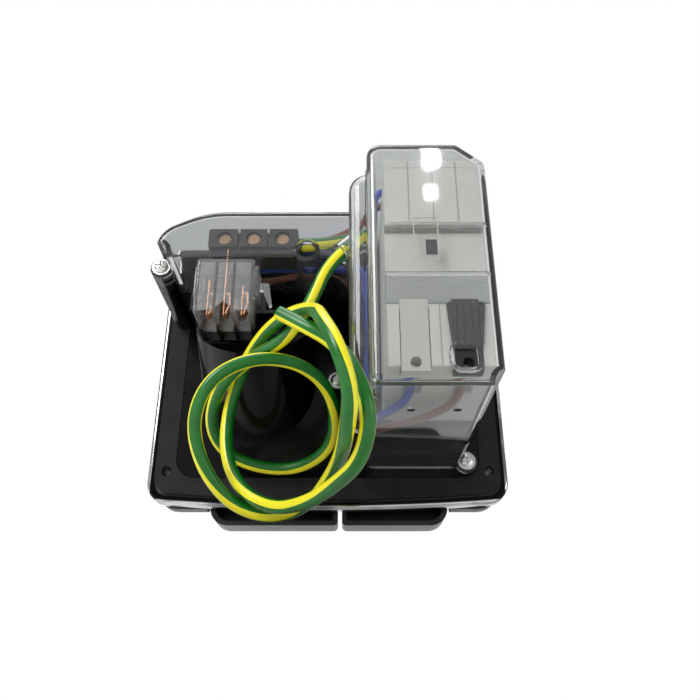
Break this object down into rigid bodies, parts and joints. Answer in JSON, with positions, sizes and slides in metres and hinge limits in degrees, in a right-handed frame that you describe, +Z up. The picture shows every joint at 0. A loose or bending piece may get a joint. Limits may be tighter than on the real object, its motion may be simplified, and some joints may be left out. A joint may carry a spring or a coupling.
{
  "type": "power inlet with rcd",
  "caption": "Flush power inlet with hinged front doors, residual-current breaker, clear rear cover, push-fit output socket and a loose earth lead.",
  "frame": {"origin": "centre of the gasket's rear face, in the plane of the vehicle's outer wall", "axes": "+Z up, +X to the right seen from outside the vehicle, +Y into the vehicle"},
  "size_m": [0.1614, 0.146, 0.1532],
  "materials": {
    "frame_grey": "satin",
    "bright_trim": "polished",
    "foam": "matte",
    "black_shell": "gloss",
    "clear_cover": "clear",
    "clear_connector": "clear",
    "screw_steel": "satin",
    "nickel": "polished",
    "brass": "satin",
    "copper": "satin",
    "breaker_grey": "satin",
    "clip_grey": "satin",
    "clip_dark": "satin",
    "dark_plastic": "satin",
    "button_blue": "satin",
    "blue_plastic": "satin",
    "black_door": "gloss",
    "rubber_seal": "matte",
    "wire_brown": "satin",
    "wire_blue": "satin",
    "wire_earth": "satin"
  },
  "bodies": {
    "root": {"front_frame": "frame_grey", "trim_ring": "bright_trim", "panel_gasket": "foam", "rear_housing": "black_shell", "rear_cover": "clear_cover", "cover_screws": "screw_steel", "inlet_insert": "blue_plastic", "pin_line": "nickel", "pin_neutral": "nickel", "pin_earth": "nickel", "terminal_block": "dark_plastic", "terminal_screws": "brass", "rcbo_case": "breaker_grey", "rcbo_terminal_screws": "screw_steel", "connector_shell": "clear_connector", "connector_base": "dark_plastic", "contact_line": "copper", "contact_neutral": "copper", "contact_earth": "copper", "line_in_wire": "wire_brown", "neutral_in_wire": "wire_blue", "line_out_wire": "wire_brown", "neutral_out_wire": "wire_blue", "earth_inner_wire": "wire_earth", "inlet_hinge_pin": "screw_steel", "breaker_hinge_pin": "screw_steel", "earth_lead": "wire_earth"},
    "inlet_door": {"inlet_door": "black_door", "inlet_door_seal": "rubber_seal"},
    "breaker_door": {"breaker_door": "black_door", "breaker_door_seal": "rubber_seal"},
    "rcbo_lever": {"rcbo_lever": "dark_plastic"},
    "rcbo_test_button": {"rcbo_test_button": "button_blue"},
    "din_clip_left": {"din_clip_left": "clip_grey"},
    "din_clip_right": {"din_clip_right": "clip_dark"}
  },
  "joints": [
    {"name": "inlet_door_hinge", "type": "hinge", "parent": "root", "child": "inlet_door", "pos_m": [0.032, -0.023, 0.058], "axis": [-1, 0, 0], "range_deg": [0, 110]},
    {"name": "breaker_door_hinge", "type": "hinge", "parent": "root", "child": "breaker_door", "pos_m": [-0.037, -0.023, 0.058], "axis": [-1, 0, 0], "range_deg": [0, 110]},
    {"name": "rcbo_lever_hinge", "type": "hinge", "parent": "root", "child": "rcbo_lever", "pos_m": [-0.0374, 0.0355, -0.004], "axis": [1, 0, 0], "range_deg": [0, 60]},
    {"name": "test_button_slide", "type": "slide", "parent": "root", "child": "rcbo_test_button", "axis": [0, 1, 0], "range_m": [0, 0.0015], "stiffness_N_per_m": 500},
    {"name": "din_clip_left_slide", "type": "slide", "parent": "root", "child": "din_clip_left", "axis": [0, 0, -1], "range_m": [0, 0.0028], "stiffness_N_per_m": 900},
    {"name": "din_clip_right_slide", "type": "slide", "parent": "root", "child": "din_clip_right", "axis": [0, 0, -1], "range_m": [0, 0.0028], "stiffness_N_per_m": 900}
  ]
}
